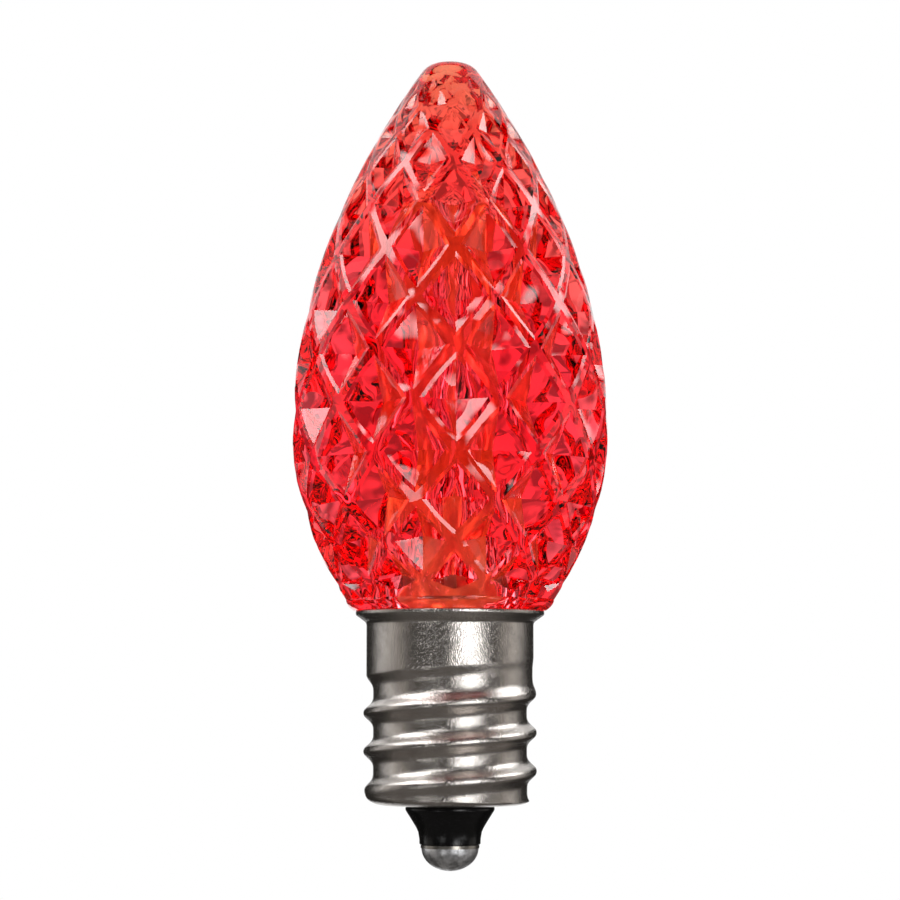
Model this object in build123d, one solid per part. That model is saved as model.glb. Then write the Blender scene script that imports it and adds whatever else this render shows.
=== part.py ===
from build123d import *
import math
import os

# Retrofit string-light bulb: a faceted red lens over a small rolled screw shell,
# with a lamp board inside. All sizes are in millimetres. The axis is Z, the origin is
# the lowest point of the centre contact, and the lens points up.

# Screw shell, drawn from thin sheet
SHEET = 0.28
THREAD_DIAMETER = 11.6
THREAD_DEPTH = 0.68
THREAD_PITCH = 2.54
THREAD_TURNS = 2.5
THREADED_HEIGHT = 7.95
FADE_OVERLAP = 1 / 72
FADE_STEP = 0.05
FADE_MARGIN = 0.07
SKIRT_DIAMETER = 11.16
SKIRT_HEIGHT = 4.1
FLARE_DIAMETER = 12.6
FLARE_HEIGHT = 0.8
FOOT_DIAMETER = 8.8
FOOT_CORNER_HEIGHT = 1.0
FOOT_HOLE_DIAMETER = 4.8

# Black insulator, and the centre contact under it
SOLDER_HEIGHT = 1.52
SOLDER_DIAMETER = 3.8
EYELET_DIAMETER = 3.9
EYELET_SHEET = 0.2
EYELET_TUBE_DIAMETER = 1.5
EYELET_TUBE_HEIGHT = 1.4
TAIL_DIAMETER = 4.06
TAIL_HEIGHT = 1.94
TAIL_HOLLOW = 0.18
COLLAR_DIAMETER = 5.94
COLLAR_HEIGHT = 0.69
COLLAR_ROUNDING = 0.15
PLUG_DIAMETER = 7.4
PLUG_HEIGHT = 1.5

# Moulded lens
LENS_HEIGHT = 37.3
LENS_DIAMETER = 21.24
WIDEST_HEIGHT = 12.0
NECK_DIAMETER = 13.94
NECK_RING_HEIGHT = 0.73
NECK_FOOT_DIAMETER = 12.84
TIP_DIAMETER = 4.1
TIP_FLAT_DIAMETER = 1.5
TIP_DROP = 0.75
SPIGOT_LENGTH = 2.9
SEAT_CLEARANCE = 0.02
BORE_MOUTH_DIAMETER = 7.8
BORE_END_DIAMETER = 5.6
BORE_TOP_GAP = 1.77

# Diamond cells in the lens: four-sided pyramids that point inwards, between raised ridges
CELLS_ROUND = 12
FIRST_COLUMN = -87.8
RIDGE_WIDTH = 0.56
CELL_DEPTH_SHARE = 0.5
TIP_MARGIN = 0.23
NECK_MARGIN = 0.09
ROW_STEPS = (1.1, 1.5, 1.85, 2.4, 2.9, 3.25, 3.45, 3.3, 3.4, 3.4, 3.1, 2.6, 2.45, 0.8)
OUTER_REACH = 1.09

# Lamp board, and what is soldered to it
BOARD_WIDTH = 6.6
BOARD_THICKNESS = 0.8
BOARD_LENGTH = 36.0
BOARD_FLOOR_GAP = 1.6
LED_WIDTH = 2.8
LED_HEIGHT = 3.5
LED_THICKNESS = 0.75
LED_WINDOW_DEPTH = 0.15
LED_EDGE = 0.35
LED_SPACING = 6.0
TOP_LED_DROP = 4.5
CHIP_LENGTH = 3.2
CHIP_WIDTH = 1.6
CHIP_CAP_LENGTH = 0.45
CHIP_CAP_RISE = 0.05
RESISTOR_THICKNESS = 0.6
CAPACITOR_THICKNESS = 1.3
CHIP_SPACING = 2.9
RECTIFIER_WIDTH = 3.8
RECTIFIER_HEIGHT = 4.7
RECTIFIER_THICKNESS = 1.6
RECTIFIER_LIFT = 0.15
RECTIFIER_EDGE = 0.3
PIN_WIDTH = 0.6
PIN_THICKNESS = 0.2
PIN_REACH = 0.9
PIN_SPACING = 2.5

# Leads and their solder
LEAD_DIAMETER = 0.45
LEAD_BEND = 0.5
CONTACT_LEAD_OFFSET = 1.4
SHELL_LEAD_OFFSET = 2.4
LEAD_LAP = 1.2
BEAD_DIAMETER = 0.84
BEAD_DROP = 0.45

# Places that follow from the sizes
thread_radius = THREAD_DIAMETER / 2
root_radius = thread_radius - THREAD_DEPTH
skirt_radius = SKIRT_DIAMETER / 2
flare_radius = FLARE_DIAMETER / 2
bore_radius = skirt_radius - SHEET
lens_radius = LENS_DIAMETER / 2
neck_radius = NECK_DIAMETER / 2
tip_radius = TIP_DIAMETER / 2
lead_radius = LEAD_DIAMETER / 2
tail_z = SOLDER_HEIGHT + EYELET_SHEET
collar_z = tail_z + TAIL_HEIGHT
foot_z = collar_z + COLLAR_HEIGHT
skirt_z = foot_z + THREADED_HEIGHT
flare_z = skirt_z + SKIRT_HEIGHT
rim_z = flare_z + FLARE_HEIGHT
plug_z = foot_z + SHEET
plug_top_z = plug_z + PLUG_HEIGHT
neck_z = rim_z + NECK_RING_HEIGHT
widest_z = rim_z + WIDEST_HEIGHT
tip_z = rim_z + LENS_HEIGHT
shoulder_z = tip_z - TIP_DROP
spigot_z = flare_z - SPIGOT_LENGTH
board_z = plug_top_z + BOARD_FLOOR_GAP
board_top_z = board_z + BOARD_LENGTH
bore_end_z = board_top_z + BORE_TOP_GAP
board_face = BOARD_THICKNESS / 2
led_z = board_top_z - TOP_LED_DROP
chip_z = board_z + LEAD_LAP + CHIP_LENGTH

# The flare's upper face lies one sheet inside its outer face, measured square to it
flare_run = flare_radius - skirt_radius
flare_rise = FLARE_HEIGHT - SHEET
flare_length = math.hypot(flare_run, flare_rise)
lip_radius = flare_radius - (SHEET * flare_length - SHEET * flare_run) / flare_rise
seat_z = rim_z - (lip_radius - bore_radius) * flare_rise / flare_run


def turned(outline):
    """A solid of revolution about Z from a closed outline of radius and height."""
    return revolve(Plane.XZ * make_face(outline), Axis.Z)


def tube(outer, inner, low, high):
    """A plain tube about Z between two heights."""
    return Pos(0, 0, low) * extrude(Circle(outer) - Circle(inner), high - low)


def rod(radius, low, high):
    """A plain cylinder about Z between two heights."""
    return Pos(0, 0, low) * extrude(Circle(radius), high - low)


def block(width, thickness, height, x, y, z):
    """A box centred on x and y, with its bottom at z."""
    lowest = (Align.CENTER, Align.CENTER, Align.MIN)
    return Pos(x, y, z) * Box(width, thickness, height, align=lowest)


# Rolled thread
def wave_outline(inset):
    """One wave of the thread in radius and height, set in by a thickness of sheet."""
    half = THREAD_PITCH / 2
    bend = (half**2 + THREAD_DEPTH**2) / (4 * THREAD_DEPTH)
    crest_bend = bend - inset
    root_bend = bend + inset
    crest_centre = thread_radius - bend
    root_centre = root_radius + bend
    lean = math.atan2(root_centre - crest_centre, half)
    turn_r = crest_centre + crest_bend * math.sin(lean)
    turn_z = crest_bend * math.cos(lean)
    edge_z = half - THREAD_PITCH / 30
    edge_angle = math.asin((half - edge_z) / root_bend)
    edge_r = root_centre - root_bend * math.cos(edge_angle)
    middle = (edge_angle + math.pi / 2 - lean) / 2
    middle_r = root_centre - root_bend * math.cos(middle)
    middle_z = half - root_bend * math.sin(middle)
    inner = edge_r - SHEET
    lower = ThreePointArc((edge_r, -edge_z), (middle_r, -middle_z), (turn_r, -turn_z))
    crest = ThreePointArc((turn_r, -turn_z), (thread_radius - inset, 0), (turn_r, turn_z))
    upper = ThreePointArc((turn_r, turn_z), (middle_r, middle_z), (edge_r, edge_z))
    back = Polyline((edge_r, edge_z), (inner, edge_z), (inner, -edge_z), (edge_r, -edge_z))
    return [lower, crest, upper, back]


def wave(inset, start_z, turns, sunk=0.0, growth=0.0):
    """The wave swept up a helix, whose radius starts sunk and grows by growth on the way."""
    height = THREAD_PITCH * turns
    lean = math.atan2(growth, height)
    section = Plane(origin=(-sunk, 0, start_z), x_dir=(1, 0, 0), z_dir=(0, -1, 0))
    path = Helix(
        THREAD_PITCH / math.cos(lean),
        height,
        root_radius - sunk,
        center=(0, 0, start_z),
        cone_angle=math.degrees(lean),
    )
    return sweep(section * make_face(wave_outline(inset)), path, is_frenet=True)


def foot_trim(inset):
    """What is taken off round the foot: all below it, and all outside its rounded corner."""
    flat = FOOT_DIAMETER / 2
    low = foot_z + inset
    reach = thread_radius + SHEET
    run = reach - flat - inset
    rise = FOOT_CORNER_HEIGHT * run / (thread_radius - flat)
    corner = EllipticalCenterArc((flat, low + rise), run, rise, start_angle=270, arc_size=90)
    bottom = foot_z - THREAD_PITCH
    outside = [(flat + run, low + rise), (reach + SHEET, low + rise), (reach + SHEET, bottom), (0, bottom)]
    return [corner, Polyline(*outside, (0, low), (flat, low))]


def threaded_solid(inset):
    """The threaded stretch with its rounded foot, filled in: its outside, or its inside one sheet in."""
    core = root_radius - inset + THREAD_DEPTH / 50
    fade_z = skirt_z - THREAD_PITCH / 4
    main_z = fade_z - THREAD_TURNS * THREAD_PITCH
    fade_turns = 0.5 + FADE_OVERLAP
    low_sunk = THREAD_DEPTH + FADE_MARGIN
    high_sunk = thread_radius - skirt_radius + FADE_MARGIN
    main = Rot(0, 0, 180) * wave(inset, main_z, THREAD_TURNS)
    fade_in = wave(inset, main_z - THREAD_PITCH / 2, fade_turns, low_sunk, low_sunk - FADE_STEP)
    turn = 180 + 360 * (THREAD_TURNS - FADE_OVERLAP)
    start_z = fade_z - THREAD_PITCH * FADE_OVERLAP
    fade_out = Rot(0, 0, turn) * wave(inset, start_z, fade_turns, FADE_STEP, -high_sunk)
    return rod(core, foot_z - SHEET, skirt_z) + main + fade_in + fade_out - turned(foot_trim(inset))


def skirt_outline(inset):
    """The plain skirt and its flare, from the last root of the thread up to the rim."""
    core = root_radius - inset
    wall = skirt_radius - inset
    step = THREAD_DEPTH / 2
    low = skirt_z - THREAD_PITCH / 2
    rim = [(flare_radius, rim_z - SHEET), (flare_radius, rim_z)]
    if inset:
        rim = [(lip_radius, rim_z)]
    corner_z = rim[0][1] - (rim[0][0] - wall) * flare_rise / flare_run
    points = [(0, low), (core, low), (core, skirt_z - step), (wall, skirt_z + step), (wall, corner_z)]
    radii = [0, 0, step, step, step] + [0] * len(rim) + [0]
    return FilletPolyline(points + rim + [(0, rim_z), (0, low)], radius=radii)


def screw_shell():
    """Rolled sheet shell: threaded wall, plain skirt, flared rim and a foot turned in round a hole."""
    shell = threaded_solid(0) + turned(skirt_outline(0))
    shell -= threaded_solid(SHEET)
    shell -= turned(skirt_outline(SHEET))
    shell -= rod(FOOT_HOLE_DIAMETER / 2, foot_z - SHEET, plug_z + SHEET)
    return shell


# Insulator and centre contact
def insulator():
    """Black moulding held in the shell's foot: a plug inside, a collar and a waisted tail below."""
    hole = EYELET_TUBE_DIAMETER / 2
    foot_hole = FOOT_HOLE_DIAMETER / 2
    collar = COLLAR_DIAMETER / 2
    plug = PLUG_DIAMETER / 2
    tail = TAIL_DIAMETER / 2
    waist = ((tail + collar) / 2 - TAIL_HOLLOW, tail_z + TAIL_HEIGHT / 2)
    sides = Polyline((collar, foot_z), (foot_hole, foot_z), (foot_hole, plug_z), (plug, plug_z))
    inside = Polyline((plug, plug_z), (plug, plug_top_z), (hole, plug_top_z), (hole, tail_z))
    outline = [
        ThreePointArc((tail, tail_z), waist, (collar, collar_z)),
        Line((collar, collar_z), (collar, foot_z)),
        sides,
        inside,
        Line((hole, tail_z), (tail, tail_z)),
    ]
    body = turned(outline)
    rims = body.edges().filter_by(GeomType.CIRCLE).filter_by(lambda e: abs(e.radius - collar) < 0.001)
    return fillet(rims, COLLAR_ROUNDING)


def contact_eyelet():
    """Tinned eyelet: a flat rim under the tail, and a tube up its hole."""
    top = tail_z + EYELET_TUBE_HEIGHT
    tube_radius = EYELET_TUBE_DIAMETER / 2
    eyelet = tube(EYELET_DIAMETER / 2, tube_radius - EYELET_SHEET, SOLDER_HEIGHT, tail_z)
    return eyelet + tube(tube_radius, tube_radius - EYELET_SHEET, tail_z, top)


def solder_tip():
    """Solder that closes the eyelet: a dome below, and a plug round the end of the lead."""
    radius = SOLDER_DIAMETER / 2
    centre = (0, SOLDER_HEIGHT)
    dome = EllipticalCenterArc(centre, radius, SOLDER_HEIGHT, start_angle=270, arc_size=90)
    top = Polyline((radius, SOLDER_HEIGHT), centre, (0, 0))
    plug = rod(EYELET_TUBE_DIAMETER / 2 - EYELET_SHEET, SOLDER_HEIGHT, tail_z + EYELET_TUBE_HEIGHT / 2)
    return turned([dome, top]) + plug - contact_lead()


# Lens
def outline_end(z):
    """Radius and height where the lens's outline ends, towards the tip or towards the neck."""
    if z > widest_z:
        return tip_radius, shoulder_z
    return neck_radius, neck_z


def outline_radius(z):
    """Radius of the smooth outline that the ridges lie on: a parabola each side of the widest ring."""
    end_radius, end_z = outline_end(z)
    return lens_radius - (lens_radius - end_radius) * ((z - widest_z) / (end_z - widest_z)) ** 2


def outline_point(angle, z):
    """A point of the smooth outline, angle in radians from the middle of a cell."""
    radius = outline_radius(z)
    return Vector(radius * math.cos(angle), radius * math.sin(angle), z)


def outline_normal(angle, z):
    """The direction square to the smooth outline, pointing outwards."""
    end_radius, end_z = outline_end(z)
    fall = 2 * (lens_radius - end_radius) * (z - widest_z) / (end_z - widest_z) ** 2
    return Vector(math.cos(angle), math.sin(angle), fall).normalized()


def lens_blank():
    """The lens before its cells: smooth outside, neck ring, flare seat, spigot and tapered bore."""
    flat = (TIP_FLAT_DIAMETER / 2, tip_z)
    shoulder = (tip_radius, shoulder_z)
    widest = (lens_radius, widest_z)
    neck = (neck_radius, neck_z)
    neck_foot = (NECK_FOOT_DIAMETER / 2, rim_z)
    spigot = bore_radius - SEAT_CLEARANCE
    mouth = BORE_MOUTH_DIAMETER / 2
    end = BORE_END_DIAMETER / 2
    outline = [
        Line((0, tip_z), flat),
        TangentArc(flat, shoulder, tangent=(1, 0)),
        Bezier(shoulder, (lens_radius, (widest_z + shoulder_z) / 2), widest),
        Bezier(widest, (lens_radius, (widest_z + neck_z) / 2), neck),
        ThreePointArc(neck, ((neck[0] + neck_foot[0]) / 2 + SHEET / 2, (neck_z + rim_z) / 2), neck_foot),
        Polyline(neck_foot, (lip_radius, rim_z), (spigot, seat_z), (spigot, spigot_z), (mouth, spigot_z)),
        Line((mouth, spigot_z), (end, bore_end_z - end)),
        CenterArc((0, bore_end_z - end), end, 0, 90),
        Line((0, bore_end_z), (0, tip_z)),
    ]
    return turned(outline)


def row_heights():
    """Heights of the rows of ridge crossings, from the tip down to the neck ring."""
    high = shoulder_z - TIP_MARGIN
    low = neck_z + NECK_MARGIN
    scale = (high - low) / sum(ROW_STEPS)
    heights = [high]
    for step in ROW_STEPS:
        heights.append(heights[-1] - step * scale)
    return heights


def ridge_side(corner, next_corner, share):
    """A point on the edge of the ridge between two crossings, on the side of the cell."""
    angle = corner[0] + (next_corner[0] - corner[0]) * share
    z = corner[1] + (next_corner[1] - corner[1]) * share
    along = outline_point(*next_corner) - outline_point(*corner)
    inward = outline_normal(angle, z).cross(along).normalized()
    half_ridge = RIDGE_WIDTH / 2 * math.sqrt(outline_radius(z) / lens_radius)
    return outline_point(angle, z) + inward * half_ridge


def reach_outline(start, direction):
    """The point a little past where a line from inside the lens leaves its smooth outline."""
    near = 0.0
    far = lens_radius
    while far - near > SHEET / 1000:
        middle = (near + far) / 2
        point = start + direction * middle
        if math.hypot(point.X, point.Y) < outline_radius(point.Z):
            near = middle
        else:
            far = middle
    return start + direction * (near * OUTER_REACH)


def polygon(*corners):
    """A flat face through its corners."""
    return Face(Wire.make_polygon(corners, close=True))


def cell_cutter(above, level, below):
    """The pyramid cut for one cell, whose corners are the crossings around it."""
    half_angle = math.pi / CELLS_ROUND
    corners = [(0, above), (-half_angle, level), (0, below), (half_angle, level)]
    depth = CELL_DEPTH_SHARE * outline_radius(level) * math.sin(half_angle)
    outward = outline_normal(0, level)
    apex = outline_point(0, level) - outward * depth
    peak = outline_point(0, level) + outward * depth
    facets = []
    for k in range(4):
        first = ridge_side(corners[k], corners[(k + 1) % 4], 0.2)
        last = ridge_side(corners[k], corners[(k + 1) % 4], 0.8)
        facets.append((first, last))
    rim = []
    for k in range(4):
        before = (facets[k - 1][0] - apex).cross(facets[k - 1][1] - apex)
        after = (facets[k][0] - apex).cross(facets[k][1] - apex)
        valley = before.cross(after).normalized()
        if valley.dot(outline_point(*corners[k]) - apex) < 0:
            valley = valley * -1
        middle = (facets[k][0] + facets[k][1]) * 0.5 - apex
        rim.append(reach_outline(apex, valley))
        rim.append(reach_outline(apex, middle.normalized()))
    faces = []
    for k in range(0, 8, 2):
        faces.append(polygon(apex, rim[k], rim[k + 1], rim[(k + 2) % 8]))
        faces.append(polygon(peak, rim[k], rim[k + 1]))
        faces.append(polygon(peak, rim[k + 1], rim[(k + 2) % 8]))
    return Solid(Shell(faces))


def lens():
    """Faceted moulding: every second crossing of a row sits over the middle of a cell in the next."""
    rows = row_heights()
    cutters = []
    for i in range(1, len(rows) - 1):
        cutter = cell_cutter(rows[i - 1], rows[i], rows[i + 1])
        shift = 0.5 * ((i + 1) % 2)
        for k in range(CELLS_ROUND):
            turn = FIRST_COLUMN + 360 / CELLS_ROUND * (k + shift)
            cutters.append(Rot(0, 0, turn) * cutter)
    groove = block(
        BOARD_WIDTH + 2 * SEAT_CLEARANCE,
        BOARD_THICKNESS + 2 * SEAT_CLEARANCE,
        board_top_z + SEAT_CLEARANCE - spigot_z,
        0, 0, spigot_z,
    )
    return lens_blank() - cutters - groove


# Lamp board
def led_board():
    """Narrow board that stands on the axis, its upper edges held in grooves of the lens."""
    return block(BOARD_WIDTH, BOARD_THICKNESS, BOARD_LENGTH, 0, 0, board_z)


def led(z, side):
    """Light-emitting package on the front or back of the board, with a shallow window."""
    y = side * (board_face + LED_THICKNESS / 2)
    body = block(LED_WIDTH, LED_THICKNESS, LED_HEIGHT, 0, y, z - LED_HEIGHT / 2)
    window_y = side * (board_face + LED_THICKNESS - LED_WINDOW_DEPTH / 2)
    width = LED_WIDTH - 2 * LED_EDGE
    height = LED_HEIGHT - 2 * LED_EDGE
    return body - block(width, LED_WINDOW_DEPTH, height, 0, window_y, z - height / 2)


def chip(thickness, z, side):
    """Chip part soldered flat across the board, with raised end caps."""
    y = side * (board_face + (thickness + CHIP_CAP_RISE) / 2)
    inner = CHIP_LENGTH - 2 * CHIP_CAP_LENGTH
    body = block(inner, thickness, CHIP_WIDTH - 2 * CHIP_CAP_RISE, 0, y, z - CHIP_WIDTH / 2 + CHIP_CAP_RISE)
    for end in (-1, 1):
        x = end * (inner + CHIP_CAP_LENGTH) / 2
        body += block(CHIP_CAP_LENGTH, thickness + CHIP_CAP_RISE, CHIP_WIDTH, x, y, z - CHIP_WIDTH / 2)
    return body


def bridge_rectifier():
    """Moulded rectifier on the front of the board, with four bent pins."""
    low = board_z + LEAD_LAP
    y = -(board_face + RECTIFIER_LIFT + RECTIFIER_THICKNESS / 2)
    body = block(RECTIFIER_WIDTH, RECTIFIER_THICKNESS, RECTIFIER_HEIGHT, 0, y, low)
    body = chamfer(body.faces().sort_by(Axis.Y)[0].edges(), RECTIFIER_EDGE)
    middle_z = low + RECTIFIER_HEIGHT / 2
    pad_y = -(board_face + PIN_THICKNESS / 2)
    for side in (-1, 1):
        for level in (-1, 1):
            z = middle_z + level * PIN_SPACING / 2 - PIN_WIDTH / 2
            x = side * (RECTIFIER_WIDTH / 2 + PIN_REACH / 2)
            leg_x = side * (RECTIFIER_WIDTH / 2 + PIN_THICKNESS / 2)
            body += block(PIN_REACH, PIN_THICKNESS, PIN_WIDTH, x, pad_y, z)
            leg_height = RECTIFIER_LIFT + RECTIFIER_THICKNESS / 2
            body += block(PIN_THICKNESS, leg_height, PIN_WIDTH, leg_x, -(board_face + leg_height / 2), z)
    return body


# Leads
def lead(*route):
    """Round wire along a route of straight runs with rounded corners."""
    path = FilletPolyline(*route, radius=LEAD_BEND)
    start = Plane(origin=path @ 0, z_dir=path % 0)
    return sweep(start * Circle(lead_radius), path)


def contact_lead():
    """Wire from the front of the board, through the insulator, to the solder of the tip."""
    y = -(board_face + lead_radius)
    return lead(
        (-CONTACT_LEAD_OFFSET, y, board_z + LEAD_LAP * 0.8),
        (-CONTACT_LEAD_OFFSET, y, board_z - LEAD_LAP / 3),
        (0, 0, plug_top_z + LEAD_LAP / 3),
        (0, 0, SOLDER_HEIGHT / 2),
    )


def bead_centre():
    """Where the shell's lead is soldered, on the inside of the skirt."""
    y = board_face + lead_radius
    reach = bore_radius - BEAD_DIAMETER / 4
    return math.sqrt(reach**2 - y**2), y, spigot_z - BEAD_DROP


def shell_lead():
    """Wire from the back of the board out to the wall of the shell."""
    x, y, z = bead_centre()
    return lead(
        (SHELL_LEAD_OFFSET, y, board_z + LEAD_LAP / 2),
        (SHELL_LEAD_OFFSET, y, z - LEAD_LAP),
        (x, y, z),
    )


def shell_solder():
    """Bead of solder between the shell's lead and its wall."""
    bead = Pos(*bead_centre()) * Sphere(BEAD_DIAMETER / 2)
    return (bead & rod(bore_radius, spigot_z - BEAD_DIAMETER * 2, spigot_z)) - shell_lead()


parts = {
    "lens": lens(),
    "screw_shell": screw_shell(),
    "base_insulator": insulator(),
    "contact_eyelet": contact_eyelet(),
    "solder_tip": solder_tip(),
    "led_board": led_board(),
    "led_upper": led(led_z, -1),
    "led_middle": led(led_z - LED_SPACING, 1),
    "led_lower": led(led_z - 2 * LED_SPACING, -1),
    "bridge_rectifier": bridge_rectifier(),
    "resistor_lower": chip(RESISTOR_THICKNESS, chip_z, 1),
    "resistor_upper": chip(RESISTOR_THICKNESS, chip_z + CHIP_SPACING, 1),
    "capacitor": chip(CAPACITOR_THICKNESS, chip_z + 2 * CHIP_SPACING, -1),
    "contact_lead": contact_lead(),
    "shell_lead": shell_lead(),
    "shell_solder": shell_solder(),
}

os.makedirs("parts", exist_ok=True)
for name, shape in parts.items():
    export_step(shape, f"parts/{name}.step")
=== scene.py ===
import math

import bpy
from mathutils import Matrix, Vector


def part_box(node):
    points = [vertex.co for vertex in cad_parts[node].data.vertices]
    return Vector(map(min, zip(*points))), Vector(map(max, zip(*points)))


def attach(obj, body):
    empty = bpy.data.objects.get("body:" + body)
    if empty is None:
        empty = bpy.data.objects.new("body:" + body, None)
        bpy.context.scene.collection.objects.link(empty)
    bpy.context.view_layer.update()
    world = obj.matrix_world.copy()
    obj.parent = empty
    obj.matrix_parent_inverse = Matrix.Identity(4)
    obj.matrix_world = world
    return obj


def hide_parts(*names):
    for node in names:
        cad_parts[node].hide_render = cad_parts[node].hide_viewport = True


bl_info = {
    "name": "Faceted Screw Bulb",
    "version": (1, 0, 0),
    "blender": (4, 5, 0),
    "location": "3D View > Sidebar > Bulb",
    "description": "Dresses a small string-light bulb with a diamond-cut lens and a rolled screw base",
    "category": "Object",
}

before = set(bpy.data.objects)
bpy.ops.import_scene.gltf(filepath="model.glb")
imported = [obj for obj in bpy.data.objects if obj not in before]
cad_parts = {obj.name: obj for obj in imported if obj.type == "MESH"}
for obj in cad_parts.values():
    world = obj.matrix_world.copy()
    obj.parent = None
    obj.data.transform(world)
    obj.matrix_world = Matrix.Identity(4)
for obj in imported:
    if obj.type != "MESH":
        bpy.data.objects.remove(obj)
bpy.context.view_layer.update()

MM = 0.001
WHITE = (1.0, 1.0, 1.0, 1.0)
LENS_LOW, LENS_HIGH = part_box("lens")
SHELL_LOW, SHELL_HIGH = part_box("screw_shell")

# Steps between the rows of ridge crossings, from the tip down, as shares of their sum
ROW_STEPS = (1.1, 1.5, 1.85, 2.4, 2.9, 3.25, 3.45, 3.3, 3.4, 3.4, 3.1, 2.6, 2.45, 0.8)
# Depth of the cells in the rows after the top row, against the rest
NEXT_ROWS = (0.45, 0.63, 0.81, 0.99)
# Places along a cell's side of its points, and of the two points that its facet's plane goes through
SIDE_SHARES = (0.3, 0.5, 0.7)
PLANE_SHARES = (0.2, 0.8)
# Halvings that place a point on the outline
HALVINGS = 40
# Bulge of the neck ring, in millimetres
RING_BULGE = 0.14
# Where the lens stands in the shell, in millimetres: its cone-shaped seat, and the spigot below
SEAT_RADIUS = 6.209
SEAT_FOOT_Z = 16.543
SPIGOT_RADIUS = 5.28

# Shape of the rolled wave: a power above 1 narrows its crests
WAVE_POWER = 2.1
# Turns between which crests and grooves fade, counted up or down from the last crest
CREST_INTO_SKIRT = (-0.15, 0.4)
GROOVE_INTO_SKIRT = (0.0, 0.66)
CREST_INTO_FOOT = (2.2, 2.8)
GROOVE_INTO_FOOT = (2.45, 2.95)
FOOT_CREST_LOSS = 0.3
FOOT_GROOVE_FILL = 0.85
# Soft corner where the thread meets the foot, and bend below the flare, in millimetres
FOOT_BLEND = 0.12
FLARE_BEND = 0.34
# Share of the shell's rows that crowd towards the foot
CROWDED_ROWS = 0.12
# Height of the fillet inside the foot, and rounding of the foot's hole, in millimetres
FOOT_FILLET = 0.3
HOLE_EDGE = 0.05

# Side of the insulator's tail, as radius and height above its end, in millimetres
TAIL_SIDE = (
    (1.94, 0.0), (2.03, 0.08), (2.04, 0.4), (2.12, 0.86),
    (2.24, 1.12), (2.4, 1.39), (2.64, 1.78), (2.88, 2.15))
# Side of its collar, as radius and depth below the foot of the shell, in millimetres
COLLAR_SIDE = ((2.95, 0.36), (2.97, 0.25), (2.93, 0.1), (2.82, 0.0))
# Radius of its hole, radius where it goes through the foot of the shell, and height of its plug
TAIL_HOLE = 0.75
FOOT_HOLE = 2.4
PLUG_HEIGHT = 1.5

# Half width, low end and high end of the room of cards, in millimetres
ROOM_HALF, ROOM_LOW, ROOM_HIGH = 380.0, -100.0, 420.0
# The two dark flags beside the shell: distance from the axis, front edge, back edge and top edge
FLAG_X, FLAG_FRONT, FLAG_BACK, FLAG_TOP = 62.0, 25.0, 300.0, 58.0
FLOOR_HALF = 4000.0
# Height on the axis that every softbox faces, in millimetres
LIGHT_AIM = 30.0

# Azimuth and elevation in degrees, distance, width and height in millimetres, and strength.
# Azimuth runs from the front to the right.
SOFTBOXES = {
    "key_softbox": (26, -6, 300, 145, 180, 7.4),
    "line_softbox": (-28, 27, 300, 140, 70, 9.5),
    "right_line_softbox": (28, 32, 300, 100, 60, 5.0),
    "left_line_softbox": (-30, -24, 300, 100, 60, 4.5),
    "low_softbox": (52, -28, 300, 120, 90, 6.0),
    "high_softbox": (-77, 46, 320, 230, 230, 7.0),
    "back_softbox": (100, 34, 320, 210, 200, 6.5),
}


# Sizes and colours

def length(name, description, millimetres):
    """A length that the sidebar shows in the scene's unit."""
    return bpy.props.FloatProperty(
        name=name, description=description, default=millimetres * MM, unit="LENGTH", precision=5)


def colour(name, description, value):
    """A colour swatch in the sidebar."""
    return bpy.props.FloatVectorProperty(
        name=name, description=description, subtype="COLOR", default=value, min=0.0, max=1.0)


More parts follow.
